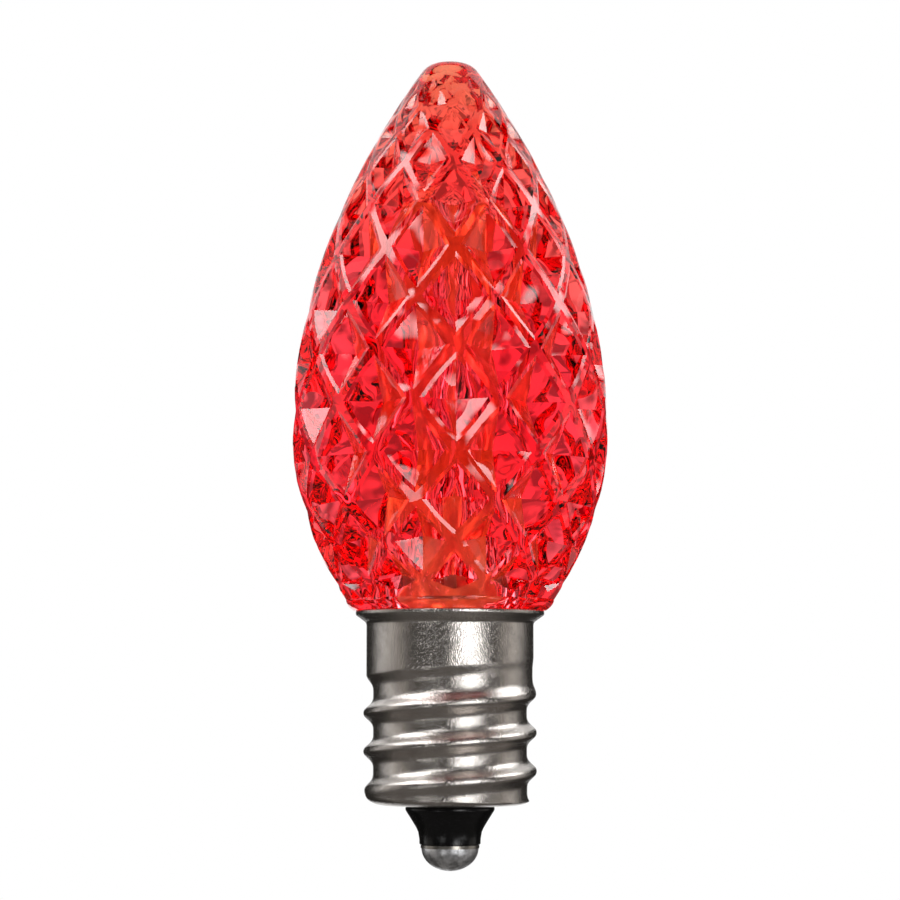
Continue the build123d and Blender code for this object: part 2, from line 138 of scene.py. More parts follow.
class LensSettings(bpy.types.PropertyGroup):
    """Sizes and colours of the faceted lens."""

    width: length("Width", "Diameter over the ridges at the widest ring", 21.24)
    rise: length("Widest ring", "Height of the widest ring above the rim of the shell", 12.0)
    neck_width: length("Neck width", "Diameter of the plain ring at its top", 13.94)
    neck_foot_width: length("Neck foot width", "Diameter of the plain ring where it meets the shell", 12.84)
    neck_height: length("Neck height", "Height of the plain ring", 0.73)
    tip_width: length("Tip width", "Diameter where the rounded tip begins", 4.1)
    tip_drop: length("Tip drop", "Height of the rounded tip", 0.75)
    tip_flat: length("Tip flat", "Diameter of the small flat on the tip", 1.5)
    tip_margin: length("Tip margin", "Plain height between the rounded tip and the cells", 0.23)
    neck_margin: length("Neck margin", "Plain height between the ring and the cells", 0.09)
    ridge: length("Ridge width", "Width of the ridges at the widest ring", 0.8)
    edge: length("Edge", "Width of the chamfers along the ridges at the widest ring", 0.14)
    bore_mouth: length("Bore mouth", "Diameter of the hollow at its mouth", 7.8)
    bore_end: length("Bore end", "Diameter of the hollow at its end", 5.6)
    bore_depth: length("Bore depth", "Depth of the hollow", 32.0)
    depth_share: bpy.props.FloatProperty(
        name="Cell depth", description="Depth of a cell as a share of half its width",
        default=0.5, subtype="FACTOR", min=0.1, max=1.0)
    top_row: bpy.props.FloatProperty(
        name="Top row", description="Depth of the cells next to the tip, against the rest",
        default=0.35, subtype="FACTOR", min=0.05, max=1.0)
    first_column: bpy.props.FloatProperty(
        name="First column", description="Turn of the first column of cells",
        default=math.radians(-87.8), subtype="ANGLE", unit="ROTATION")
    columns: bpy.props.IntProperty(
        name="Cells round", description="Number of cells in a row", default=12, min=6, max=24)
    tint: colour("Tint", "Colour of the clear plastic at its surface", (1.0, 0.98, 0.6))
    cool_tint: colour("Cool tint", "Colour of the surface in its cooler patches", (1.0, 0.86, 0.8))
    tip_tint: colour("Tip tint", "Colour of the surface near the tip", (1.0, 0.66, 0.3))
    depth_tint: colour("Depth tint", "Colour that a long way through the plastic leaves", (0.99, 0.02, 0.2))
    density: bpy.props.FloatProperty(
        name="Density", description="How fast the plastic takes up light, for one metre",
        default=225.0, min=0.0)
    tip_reach: length("Tip reach", "Height below the tip at which the tip's colour begins", 19.0)
    tip_full: length("Tip full", "Height below the tip at which the tip's colour is full", 4.0)


class ShellSettings(bpy.types.PropertyGroup):
    """Sizes and colour of the rolled screw shell."""

    thread_width: length("Thread width", "Diameter over the crests of the thread", 11.6)
    thread_depth: length("Thread depth", "Depth from crest to root", 0.68)
    pitch: length("Pitch", "Rise of the thread in one turn", 2.54)
    last_crest: length("Last crest", "Height of the last full crest above the foot", 7.315)
    skirt_width: length("Skirt width", "Diameter of the plain skirt", 11.16)
    skirt_foot: length("Skirt foot", "Height of the foot of the skirt above the foot of the shell", 7.95)
    flare_width: length("Flare width", "Diameter of the flared rim", 12.6)
    flare_height: length("Flare height", "Height of the flare", 0.8)
    foot_width: length("Foot width", "Diameter of the flat foot", 8.8)
    foot_corner: length("Foot corner", "Height of the rounded corner of the foot", 1.0)
    foot_hole: length("Foot hole", "Diameter of the hole in the foot", 4.8)
    sheet: length("Sheet", "Thickness of the sheet", 0.28)
    plate: colour("Plate", "Colour of the nickel plate", (0.60, 0.56, 0.525))


class SmallPartSettings(bpy.types.PropertyGroup):
    """Colours of the insulator, the contact and the parts inside."""

    insulator: colour("Insulator", "Colour of the black moulding", (0.0012, 0.0012, 0.0014))
    solder: colour("Solder", "Colour of the solder", (0.97, 0.975, 1.0))
    board: colour("Board", "Colour of the lamp board", (1.0, 0.78, 0.34))
    lamp: colour("Lamp", "Colour of the window of a lamp", (0.95, 0.62, 0.15))


class StageSettings(bpy.types.PropertyGroup):
    """Floor and camera."""

    floor_drop: length("Floor drop", "Distance of the floor below the contact", 120.0)
    camera_distance: length("Camera distance", "Distance of the camera from the axis", 170.0)
    camera_pitch: bpy.props.FloatProperty(
        name="Camera pitch", description="Upward tilt of the camera",
        default=math.radians(5.6555), subtype="ANGLE", unit="ROTATION")
    aim: length("Aim", "Height on the axis in the middle of the picture", 28.026)
    focal: bpy.props.FloatProperty(
        name="Focal length", description="Focal length of the camera", default=100.98, unit="CAMERA")
    floor: colour("Floor", "Colour of the floor", (0.85, 0.85, 0.85))


# Small helpers

def deselect():
    """Leaves edit mode and clears the selection."""
    if bpy.context.object and bpy.context.object.mode != "OBJECT":
        bpy.ops.object.mode_set(mode="OBJECT")
    bpy.ops.object.select_all(action="DESELECT")


def pick(obj):
    """Leaves edit mode, and selects this object alone."""
    deselect()
    obj.select_set(True)
    bpy.context.view_layer.objects.active = obj


def mesh_object(name, verts, faces):
    """A mesh from points in millimetres."""
    mesh = bpy.data.meshes.new(name)
    mesh.from_pydata([Vector(v) * MM for v in verts], [], faces)
    mesh.validate()
    mesh.update()
    obj = bpy.data.objects.new(name, mesh)
    bpy.context.scene.collection.objects.link(obj)
    return obj


def smooth_by_angle(obj, degrees):
    """Smooth shading with sharp edges past an angle."""
    pick(obj)
    bpy.ops.object.shade_smooth_by_angle(angle=math.radians(degrees))


def set_material(obj, material):
    """Gives a piece its material in its only slot."""
    obj.data.materials.clear()
    obj.data.materials.append(material)


def ease(value, start, end):
    """Goes softly from 0 to 1 between two values."""
    t = max(0.0, min(1.0, (value - start) / (end - start)))
    return t * t * (3 - 2 * t)


def soft_min(a, b, width):
    """The smaller of two lengths, with a soft corner."""
    near = max(0.0, width - abs(a - b)) / width
    return min(a, b) - near * near * width / 4


class Skin:
    """Points and faces of a piece while it is made, in millimetres."""

    def __init__(self):
        self.verts = []
        self.faces = []

    def add(self, point):
        """Adds a point and gives its number."""
        self.verts.append(tuple(point))
        return len(self.verts) - 1

    def ring(self, angles, radius, z):
        """Adds a level ring of points at these angles."""
        return [self.add((radius * math.cos(a), radius * math.sin(a), z)) for a in angles]

    def band(self, low, high):
        """Joins two rings with faces that point away from the axis."""
        for p in range(len(low)):
            q = (p + 1) % len(low)
            self.faces.append((low[p], low[q], high[q], high[p]))

    def close(self, ring, z, up):
        """Closes a ring with a fan round a point on the axis."""
        middle = self.add((0, 0, z))
        for p in range(len(ring)):
            q = (p + 1) % len(ring)
            first, second = (p, q) if up else (q, p)
            self.faces.append((ring[first], ring[second], middle))


# Materials

def add_node(tree, kind, **values):
    """A node with plain values in its inputs. An underscore stands for a space in an input's name."""
    node = tree.nodes.new(kind)
    for name, value in values.items():
        node.inputs[name.replace("_", " ")].default_value = value
    return node


def new_material(name):
    """An empty material with its output."""
    material = bpy.data.materials.new(name)
    material.use_nodes = True
    tree = material.node_tree
    tree.nodes.clear()
    output = tree.nodes.new("ShaderNodeOutputMaterial")
    output.location = (600, 0)
    return material, tree, output


def principled(tree, output, **values):
    """A Principled BSDF with plain values."""
    shader = add_node(tree, "ShaderNodeBsdfPrincipled", **values)
    shader.location = (300, 0)
    tree.links.new(shader.outputs[0], output.inputs["Surface"])
    return shader


def mottle_group():
    """Node group on Object coordinates: two colours in soft patches, the patches, and a finer grain."""
    name = "Mottle and grain"
    if name in bpy.data.node_groups:
        return bpy.data.node_groups[name]
    group = bpy.data.node_groups.new(name, "ShaderNodeTree")
    face = group.interface
    face.new_socket("Patch size", in_out="INPUT", socket_type="NodeSocketFloat").default_value = 600.0
    face.new_socket("Patch detail", in_out="INPUT", socket_type="NodeSocketFloat").default_value = 3.0
    face.new_socket("Grain size", in_out="INPUT", socket_type="NodeSocketFloat").default_value = 9000.0
    face.new_socket("Light", in_out="INPUT", socket_type="NodeSocketColor")
    face.new_socket("Dark", in_out="INPUT", socket_type="NodeSocketColor")
    face.new_socket("Colour", in_out="OUTPUT", socket_type="NodeSocketColor")
    face.new_socket("Patches", in_out="OUTPUT", socket_type="NodeSocketFloat")
    face.new_socket("Grain", in_out="OUTPUT", socket_type="NodeSocketFloat")
    start = add_node(group, "NodeGroupInput")
    end = add_node(group, "NodeGroupOutput")
    place = add_node(group, "ShaderNodeTexCoord")
    patches = add_node(group, "ShaderNodeTexNoise")
    grain = add_node(group, "ShaderNodeTexNoise", Detail=1.0)
    sharpen = add_node(group, "ShaderNodeMapRange", From_Min=0.36, From_Max=0.64)
    blend = add_node(group, "ShaderNodeMix")
    blend.data_type = "RGBA"
    links = group.links
    links.new(place.outputs["Object"], patches.inputs["Vector"])
    links.new(place.outputs["Object"], grain.inputs["Vector"])
    links.new(start.outputs["Patch size"], patches.inputs["Scale"])
    links.new(start.outputs["Patch detail"], patches.inputs["Detail"])
    links.new(start.outputs["Grain size"], grain.inputs["Scale"])
    links.new(patches.outputs[0], sharpen.inputs["Value"])
    links.new(sharpen.outputs[0], blend.inputs["Factor"])
    # A Mix node's colours are its inputs 6 and 7, and its mixed colour is output 2
    links.new(start.outputs["Light"], blend.inputs[6])
    links.new(start.outputs["Dark"], blend.inputs[7])
    links.new(blend.outputs[2], end.inputs["Colour"])
    links.new(patches.outputs[0], end.inputs["Patches"])
    links.new(grain.outputs[0], end.inputs["Grain"])
    return group


def add_mottle(tree, light, dark, patch, grain):
    """Places the mottle group in a material with its own values."""
    node = tree.nodes.new("ShaderNodeGroup")
    node.node_tree = mottle_group()
    node.location = (-300, 0)
    node.inputs["Patch size"].default_value = patch
    node.inputs["Grain size"].default_value = grain
    node.inputs["Light"].default_value = (*light, 1.0)
    node.inputs["Dark"].default_value = (*dark, 1.0)
    return node


def add_bump(tree, height, shader, strength, distance):
    """A bump from a height that feeds the shader's normal."""
    bump = add_node(tree, "ShaderNodeBump", Strength=strength, Distance=distance)
    bump.location = (0, -300)
    tree.links.new(height, bump.inputs["Height"])
    tree.links.new(bump.outputs[0], shader.inputs["Normal"])


def roughness_range(tree, value, shader, low, high):
    """Roughness that moves between two values with a mask."""
    spread = add_node(tree, "ShaderNodeMapRange", To_Min=low, To_Max=high)
    spread.location = (0, -100)
    tree.links.new(value, spread.inputs["Value"])
    tree.links.new(spread.outputs[0], shader.inputs["Roughness"])


def lens_plastic(settings):
    """Clear red moulding: tints at its surface, soft waves, and depth that reddens."""
    material, tree, output = new_material("clear_red_plastic")
    shader = principled(
        tree, output, Metallic=0.0, Roughness=0.0, IOR=1.53, Transmission_Weight=1.0)
    mottle = add_mottle(tree, settings.tint, settings.cool_tint, patch=110.0, grain=330.0)
    mottle.inputs["Patch detail"].default_value = 0.4
    # The tip is tinted more at its surface, since it has little depth to colour the light
    place = add_node(tree, "ShaderNodeTexCoord")
    parts = add_node(tree, "ShaderNodeSeparateXYZ")
    tip = add_node(
        tree, "ShaderNodeMapRange",
        From_Min=LENS_HIGH.z - settings.tip_reach, From_Max=LENS_HIGH.z - settings.tip_full)
    tip.interpolation_type = "SMOOTHSTEP"
    redden = add_node(tree, "ShaderNodeMix")
    redden.data_type = "RGBA"
    redden.inputs[7].default_value = (*settings.tip_tint, 1.0)
    tree.links.new(place.outputs["Object"], parts.inputs[0])
    tree.links.new(parts.outputs["Z"], tip.inputs["Value"])
    tree.links.new(tip.outputs[0], redden.inputs["Factor"])
    tree.links.new(mottle.outputs["Colour"], redden.inputs[6])
    tree.links.new(redden.outputs[2], shader.inputs["Base Color"])
    add_bump(tree, mottle.outputs["Grain"], shader, strength=0.8, distance=0.0004)
    depth = add_node(
        tree, "ShaderNodeVolumeAbsorption", Color=(*settings.depth_tint, 1.0), Density=settings.density)
    depth.location = (300, -500)
    tree.links.new(depth.outputs[0], output.inputs["Volume"])
    return material


def nickel_plate(settings):
    """Satin nickel on rolled sheet: fine grain and soft patches."""
    material, tree, output = new_material("satin_nickel")
    shader = principled(tree, output, Metallic=1.0)
    plate = Vector(settings.plate)
    mottle = add_mottle(tree, plate * 1.04, plate * 0.9, patch=900.0, grain=12000.0)
    tree.links.new(mottle.outputs["Colour"], shader.inputs["Base Color"])
    roughness_range(tree, mottle.outputs["Patches"], shader, low=0.17, high=0.28)
    add_bump(tree, mottle.outputs["Grain"], shader, strength=1.0, distance=0.000025)
    return material


def plain_finish(
        name, light, dark, roughness, metallic=0.0, bump=0.1, patch=600.0, grain=9000.0, ior=1.5):
    """A finish for a small part: two close colours, grain and a roughness that varies."""
    material, tree, output = new_material(name)
    shader = principled(tree, output, Metallic=metallic, IOR=ior)
    mottle = add_mottle(tree, light, dark, patch, grain)
    tree.links.new(mottle.outputs["Colour"], shader.inputs["Base Color"])
    roughness_range(tree, mottle.outputs["Patches"], shader, *roughness)
    add_bump(tree, mottle.outputs["Grain"], shader, bump, distance=0.00002)
    return material


# Lens

class LensForm:
    """The lens's outline and its lattice of cells, in millimetres."""

    def __init__(self, settings):
        s = settings
        self.columns = s.columns
        self.turn = s.first_column
        self.half = math.pi / s.columns
        self.share = s.depth_share
        self.row_depths = (s.top_row, *NEXT_ROWS)
        self.ridge = s.ridge / MM
        self.rim_z = SHELL_HIGH.z / MM
        self.tip_z = LENS_HIGH.z / MM
        self.radius = s.width / MM / 2
        self.neck_radius = s.neck_width / MM / 2
        self.tip_radius = s.tip_width / MM / 2
        self.neck_z = self.rim_z + s.neck_height / MM
        self.widest_z = self.rim_z + s.rise / MM
        self.shoulder_z = self.tip_z - s.tip_drop / MM
        high = self.shoulder_z - s.tip_margin / MM
        low = self.neck_z + s.neck_margin / MM
        scale = (high - low) / sum(ROW_STEPS)
        self.rows = [high]
        for step in ROW_STEPS:
            self.rows.append(self.rows[-1] - step * scale)
        self.levels = range(1, len(ROW_STEPS))

    def end(self, z):
        """Radius and height at the end of the curve that this height belongs to."""
        if z > self.widest_z:
            return self.tip_radius, self.shoulder_z
        return self.neck_radius, self.neck_z

    def radius_at(self, z):
        """Radius over the ridges: one parabola up to the tip, and one down to the neck."""
        end_radius, end_z = self.end(z)
        way = (z - self.widest_z) / (end_z - self.widest_z)
        return self.radius - (self.radius - end_radius) * way ** 2

    def width_share(self, z):
        """Width of ridges and chamfers at a height, against the widest ring."""
        return math.sqrt(self.radius_at(z) / self.radius)

    def point(self, angle, z):
        """A point on the outline."""
        r = self.radius_at(z)
        return Vector((r * math.cos(angle), r * math.sin(angle), z))

    def normal(self, angle, z):
        """The outline's normal at a point."""
        end_radius, end_z = self.end(z)
        fall = 2 * (self.radius - end_radius) * (z - self.widest_z) / (end_z - self.widest_z) ** 2
        return Vector((math.cos(angle), math.sin(angle), fall)).normalized()

    def ridge_side(self, corner, other, share):
        """A point between two crossings, on the edge of the ridge that faces the cell."""
        angle = corner[0] + (other[0] - corner[0]) * share
        z = corner[1] + (other[1] - corner[1]) * share
        along = self.point(*other) - self.point(*corner)
        inward = self.normal(angle, z).cross(along).normalized()
        return self.point(angle, z) + inward * (self.ridge / 2 * self.width_share(z))

    def reach(self, start, direction):
        """The point where a line from inside comes out through the outline."""
        near, far = 0.0, self.radius
        for _ in range(HALVINGS):
            middle = (near + far) / 2
            p = start + direction * middle
            if math.hypot(p.x, p.y) < self.radius_at(p.z):
                near = middle
            else:
                far = middle
        return start + direction * near

    def cell(self, level):
        """Apex of a cell and the points of its four sides, for a cell in the middle of the X axis."""
        above, here, below = self.rows[level - 1], self.rows[level], self.rows[level + 1]
        corners = [(0, above), (-self.half, here), (0, below), (self.half, here)]
        row_depth = self.row_depths[level - 1] if level <= len(self.row_depths) else 1.0
        depth = self.share * row_depth * self.radius_at(here) * math.sin(self.half)
        apex = self.point(0, here) - self.normal(0, here) * depth
        planes = []
        for k in range(4):
            first, last = (self.ridge_side(corners[k], corners[(k + 1) % 4], s) for s in PLANE_SHARES)
            planes.append((first - apex).cross(last - apex).normalized())
        sides = []
        for k in range(4):
            valley = planes[k - 1].cross(planes[k]).normalized()
            if valley.dot(self.point(*corners[k]) - apex) < 0:
                valley = -valley
            side = [self.reach(apex, valley)]
            for share in SIDE_SHARES:
                way = self.ridge_side(corners[k], corners[(k + 1) % 4], share) - apex
                way -= planes[k] * way.dot(planes[k])
                side.append(self.reach(apex, way.normalized()))
            sides.append(side)
        return apex, sides


def add_cells(form, skin):
    """Adds all cells. Gives the points along each cell's sides, and the chamfered edges with their widths."""
    cells, edges = {}, {}
    last = form.levels[-1]
    for level in form.levels:
        apex, sides = form.cell(level)
        shift = 0.5 * ((level + 1) % 2)
        width = form.width_share(form.rows[level])
        for c in range(form.columns):
            turn = Matrix.Rotation(form.turn + 2 * form.half * (c + shift), 3, "Z")
            top = skin.add(turn @ apex)
            points = [[skin.add(turn @ p) for p in side] for side in sides]
            loops = [points[k] + [points[(k + 1) % 4][0]] for k in range(4)]
            cells[level, c] = loops
            for k, loop in enumerate(loops):
                skin.faces.append([top] + loop)
                on_margin = (level == 1 and k in (0, 3)) or (level == last and k in (1, 2))
                if not on_margin:
                    edges.update({frozenset(pair): width for pair in zip(loop, loop[1:])})
    return cells, edges


def add_ridges(form, skin, cells):
    """Joins neighbouring cells with strips along the ridges and a face at each crossing."""
    n = len(SIDE_SHARES) + 1
    for level in form.levels:
        for c in range(form.columns):
            here = cells[level, c]
            left = (c - level % 2) % form.columns
            right = (left + 1) % form.columns
            if level > 1:
                strips = (here[0], cells[level - 1, left][2]), (here[3], cells[level - 1, right][1])
                for mine, other in strips:
                    for j in range(n):
                        skin.faces.append((mine[j + 1], mine[j], other[n - j], other[n - j - 1]))
            crossing = [here[3][0]]
            if (level + 1, right) in cells:
                crossing.append(cells[level + 1, right][0][0])
            crossing.append(cells[level, (c + 1) % form.columns][1][0])
            if (level - 1, right) in cells:
                crossing.append(cells[level - 1, right][2][0])
            skin.faces.append(crossing)


def climb(form, skin, loop, end_z, steps):
    """Follows the outline from a loop of points to a level ring. Gives the rings and their angles."""
    angles = [math.atan2(skin.verts[v][1], skin.verts[v][0]) for v in loop]
    rings = [loop]
    for m in range(1, steps + 1):
        ring = []
        for v, a in zip(loop, angles):
            start_z = skin.verts[v][2]
            z = start_z + (end_z - start_z) * m / steps
            ring.append(skin.add(form.point(a, z)))
        rings.append(ring)
    return rings, angles


def add_tip(form, skin, loop, settings):
    """Closes the lens above with its rounded tip."""
    rings, angles = climb(form, skin, loop, form.shoulder_z, steps=4)
    flat = settings.tip_flat / MM / 2
    run = form.tip_radius - flat
    drop = settings.tip_drop / MM
    bend = (run * run + drop * drop) / (2 * drop)
    lean = math.asin(run / bend)
    steps = 6
    for m in range(steps - 1, -1, -1):
        a = lean * m / steps
        rings.append(skin.ring(angles, flat + bend * math.sin(a), form.tip_z - bend + bend * math.cos(a)))
    for low, high in zip(rings, rings[1:]):
        skin.band(low, high)
    skin.close(rings[-1], form.tip_z, up=True)


def add_neck(form, skin, loop, settings):
    """Closes the lens below: neck ring, seat, spigot and the hollow for the board."""
    rings, angles = climb(form, skin, loop, form.neck_z, steps=2)
    foot = settings.neck_foot_width / MM / 2
    steps = 6
    for m in range(1, steps + 1):
        t = m / steps
        radius = form.neck_radius + (foot - form.neck_radius) * t + RING_BULGE * 4 * t * (1 - t)
        rings.append(skin.ring(angles, radius, form.neck_z + (form.rim_z - form.neck_z) * t))
    spigot_z = LENS_LOW.z / MM
    mouth = settings.bore_mouth / MM / 2
    end = settings.bore_end / MM / 2
    end_z = spigot_z + settings.bore_depth / MM
    profile = [
        (SEAT_RADIUS, form.rim_z), (SPIGOT_RADIUS, SEAT_FOOT_Z), (SPIGOT_RADIUS, spigot_z), (mouth, spigot_z)]
    steps = 24
    for m in range(1, steps + 1):
        t = m / steps
        profile.append((mouth + (end - mouth) * t, spigot_z + (end_z - end - spigot_z) * t))
    steps = 9
    for m in range(1, steps):
        a = math.pi / 2 * m / steps
        profile.append((end * math.cos(a), end_z - end + end * math.sin(a)))
    for radius, z in profile:
        rings.append(skin.ring(angles, radius, z))
    for high, low in zip(rings, rings[1:]):
        skin.band(low, high)
    skin.close(rings[-1], end_z, up=False)


def lens_skin(settings):
    """The whole lens, and its chamfered edges with their widths."""
    form = LensForm(settings)
    skin = Skin()
    cells, edges = add_cells(form, skin)
    add_ridges(form, skin, cells)
    upper, lower = [], []
    for c in range(form.columns):
        top = cells[form.levels[0], c]
        upper += top[0][::-1] + top[3][:-1][::-1]
        low = cells[form.levels[-1], c]
        lower += low[1][:-1] + low[2]
    add_tip(form, skin, upper, settings)
    add_neck(form, skin, lower, settings)
    return skin, edges


class BULB_OT_lens(bpy.types.Operator):
    """Makes the faceted lens"""

    bl_idname = "bulb.lens"
    bl_label = "Lens"

    def execute(self, context):
        settings = context.scene.bulb_lens
        skin, edges = lens_skin(settings)
        lens = mesh_object("clear_lens", skin.verts, skin.faces)
        weights = lens.data.attributes.new("bevel_weight_edge", "FLOAT", "EDGE")
        for edge in lens.data.edges:
            weights.data[edge.index].value = edges.get(frozenset(edge.vertices), 0.0)
        bevel = lens.modifiers.new("Moulded edges", "BEVEL")
        bevel.width = settings.edge
        bevel.segments = 1
        bevel.limit_method = "WEIGHT"
        bevel.use_clamp_overlap = False
        pick(lens)
        bpy.ops.object.modifier_apply(modifier=bevel.name)
        smooth_by_angle(lens, 14)
        set_material(lens, lens_plastic(settings))
        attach(lens, "root")
        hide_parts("lens")
        return {"FINISHED"}


# Screw shell

class ShellForm:
    """The shell's outside as a radius for each turn and height, in millimetres."""

    def __init__(self, settings):
        s = settings
        self.foot_z = SHELL_LOW.z / MM
        self.rim_z = SHELL_HIGH.z / MM
        self.pitch = s.pitch / MM
        self.depth = s.thread_depth / MM
        self.crest = s.thread_width / MM / 2
        self.root = self.crest - self.depth
        self.skirt = s.skirt_width / MM / 2
        self.skirt_z = self.foot_z + s.skirt_foot / MM
        self.last_z = self.foot_z + s.last_crest / MM
        self.flare = s.flare_width / MM / 2
        self.flare_z = self.rim_z - s.flare_height / MM
        self.foot = s.foot_width / MM / 2
        self.corner = s.foot_corner / MM
        self.sheet = s.sheet / MM
        self.hole = s.foot_hole / MM / 2

    def wave(self, dz):
        """Height of the rolled wave at a distance from its crest, as a share of its depth."""
        return ((1 + math.cos(2 * math.pi * dz / self.pitch)) / 2) ** WAVE_POWER

    def wall(self, angle, z):
        """Radius of the wall. Angle runs from the X axis, in turns. The thread fades in and out."""
        turns = (z - self.last_z) / self.pitch - angle
        low = math.floor(turns)
        share = turns - low
        groove = angle + low + 0.5
        crest_turn = angle + low + (1 if share > 0.5 else 0)
        crest = self.crest + (self.skirt - self.crest) * ease(crest_turn, *CREST_INTO_SKIRT)
        crest -= self.depth * FOOT_CREST_LOSS * ease(-crest_turn, *CREST_INTO_FOOT)
        fill = ease(groove, *GROOVE_INTO_SKIRT) + FOOT_GROOVE_FILL * ease(-groove, *GROOVE_INTO_FOOT)
        root = self.root + (self.skirt - self.root) * fill
        radius = root + (crest - root) * self.wave(min(share, 1 - share) * self.pitch)
        rise = max(0.0, min(1.0, (z - self.foot_z) / self.corner))
        corner = self.foot + (self.crest - self.foot) * math.sqrt(1 - (1 - rise) ** 2)
        return soft_min(radius, corner, FOOT_BLEND)


def shell_skin(settings, around=256, rows=120):
    """The whole shell: foot, outside, rim and inside."""
    form = ShellForm(settings)
    skin = Skin()
    turns = [k / around for k in range(around)]
    angles = [2 * math.pi * turn for turn in turns]
    rings = []

    def plain(radius, z):
        rings.append(skin.ring(angles, radius, z))

    def threaded(z, inset):
        ring = []
        for turn, a in zip(turns, angles):
            r = form.wall(turn, z) - inset
            ring.append(skin.add((r * math.cos(a), r * math.sin(a), z)))
        rings.append(ring)

    foot_z, rim_z, sheet = form.foot_z, form.rim_z, form.sheet
    plain(form.hole, foot_z + sheet)
    plain(form.hole, foot_z + HOLE_EDGE)
    plain(form.hole + HOLE_EDGE, foot_z)
    plain((form.hole + form.foot) / 2, foot_z)
    plain(form.foot, foot_z)
    thread_top = form.skirt_z + form.pitch
    for m in range(1, rows + 1):
        t = m / rows
        if t <= CROWDED_ROWS:
            t = CROWDED_ROWS * (t / CROWDED_ROWS) ** 2
        threaded(foot_z + (thread_top - foot_z) * t, 0.0)
    plain(form.skirt, (thread_top + form.flare_z) / 2)
    slope = math.atan2(form.flare - form.skirt, rim_z - sheet - form.flare_z)
    bend_z = form.flare_z - FLARE_BEND * math.tan(slope / 2)
    steps = 6
    for m in range(steps + 1):
        a = slope * m / steps
        plain(form.skirt + FLARE_BEND * (1 - math.cos(a)), bend_z + FLARE_BEND * math.sin(a))
    # The rim's edges are broken by a few hundredths of a millimetre
    plain(form.flare - 0.04, rim_z - sheet - 0.03)
    plain(form.flare, rim_z - sheet + 0.03)
    plain(form.flare, rim_z - 0.06)
    plain(form.flare - 0.02, rim_z - 0.02)
    plain(form.flare - 0.06, rim_z)
    plain(SEAT_RADIUS + 0.01, rim_z)
    plain(form.skirt - sheet, SEAT_FOOT_Z)
    plain(form.skirt - sheet, thread_top)
    for m in range(rows, 0, -2):
        threaded(max(foot_z + (thread_top - foot_z) * m / rows, foot_z + sheet + FOOT_FILLET), sheet)
    plain(form.foot - sheet, foot_z + sheet)
    for low, high in zip(rings, rings[1:] + rings[:1]):
        skin.band(low, high)
    return skin


class BULB_OT_shell(bpy.types.Operator):
    """Makes the rolled screw shell"""

    bl_idname = "bulb.shell"
    bl_label = "Screw shell"

    def execute(self, context):
        settings = context.scene.bulb_shell
        skin = shell_skin(settings)
        shell = mesh_object("rolled_shell", skin.verts, skin.faces)
        smooth_by_angle(shell, 50)
        set_material(shell, nickel_plate(settings))
        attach(shell, "root")
        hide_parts("screw_shell")
        return {"FINISHED"}


# Insulator, contact and the parts inside

def turned_piece(name, profile, around=128):
    """A closed turned piece: a ring that is extruded and resized from point to point of its profile."""
    deselect()
    radius, z = profile[0]
    bpy.ops.mesh.primitive_circle_add(vertices=around, radius=radius * MM, location=(0, 0, z * MM))
    obj = bpy.context.object
    obj.name = name
    bpy.ops.object.mode_set(mode="EDIT")
    bpy.ops.mesh.select_all(action="SELECT")
    for new_radius, new_z in profile[1:] + profile[:1]:
        bpy.ops.mesh.extrude_region_move(TRANSFORM_OT_translate={"value": (0, 0, (new_z - z) * MM)})
        share = new_radius / radius
        bpy.ops.transform.resize(value=(share, share, 1.0), center_override=(0, 0, new_z * MM))
        radius, z = new_radius, new_z
    # The last ring lies on the first, so the two are merged
    bpy.ops.mesh.select_all(action="SELECT")
    bpy.ops.mesh.remove_doubles(threshold=1e-6)
    bpy.ops.mesh.normals_make_consistent(inside=False)
    pick(obj)
    bpy.ops.object.transform_apply(location=True, rotation=True, scale=True)
    return obj


def insulator_profile(low, high):
    """The insulator's outline round from its hole, as radius and height in millimetres."""
    tail_z, foot_z, top_z = low.z / MM, SHELL_LOW.z / MM, high.z / MM
    tail = [(radius, tail_z + rise) for radius, rise in TAIL_SIDE]
    collar = [(radius, foot_z - drop) for radius, drop in COLLAR_SIDE]
    plug, plug_z = high.x / MM, top_z - PLUG_HEIGHT
    inside = [(FOOT_HOLE, foot_z), (FOOT_HOLE, plug_z), (plug, plug_z), (plug, top_z), (TAIL_HOLE, top_z)]
    return [(TAIL_HOLE, tail_z)] + tail + collar + inside


class BULB_OT_contact(bpy.types.Operator):
    """Makes the insulator, and finishes the eyelet and the solder of the centre contact"""

    bl_idname = "bulb.contact"
    bl_label = "Insulator and contact"

    def execute(self, context):
        settings = context.scene.bulb_small
        black = Vector(settings.insulator)
        solder = Vector(settings.solder)
        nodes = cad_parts
        insulator = turned_piece("turned_insulator", insulator_profile(*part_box("base_insulator")))
        smooth_by_angle(insulator, 40)
        moulding = plain_finish(
            "gloss_black_moulding", black, black * 1.6, roughness=(0.14, 0.28), bump=0.6, ior=1.4)
        set_material(insulator, moulding)
        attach(insulator, "root")
        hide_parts("base_insulator")
        brass = plain_finish(
            "tinned_brass", (0.42, 0.40, 0.37), (0.3, 0.28, 0.25), roughness=(0.25, 0.35), metallic=1.0)
        set_material(nodes["contact_eyelet"], brass)
        metal = plain_finish(
            "dull_solder", solder, solder * 0.4, roughness=(0.3, 0.55), metallic=1.0, bump=1.0,
            patch=1700.0, grain=3200.0)
        set_material(nodes["solder_tip"], metal)
        set_material(nodes["shell_solder"], metal)
        return {"FINISHED"}


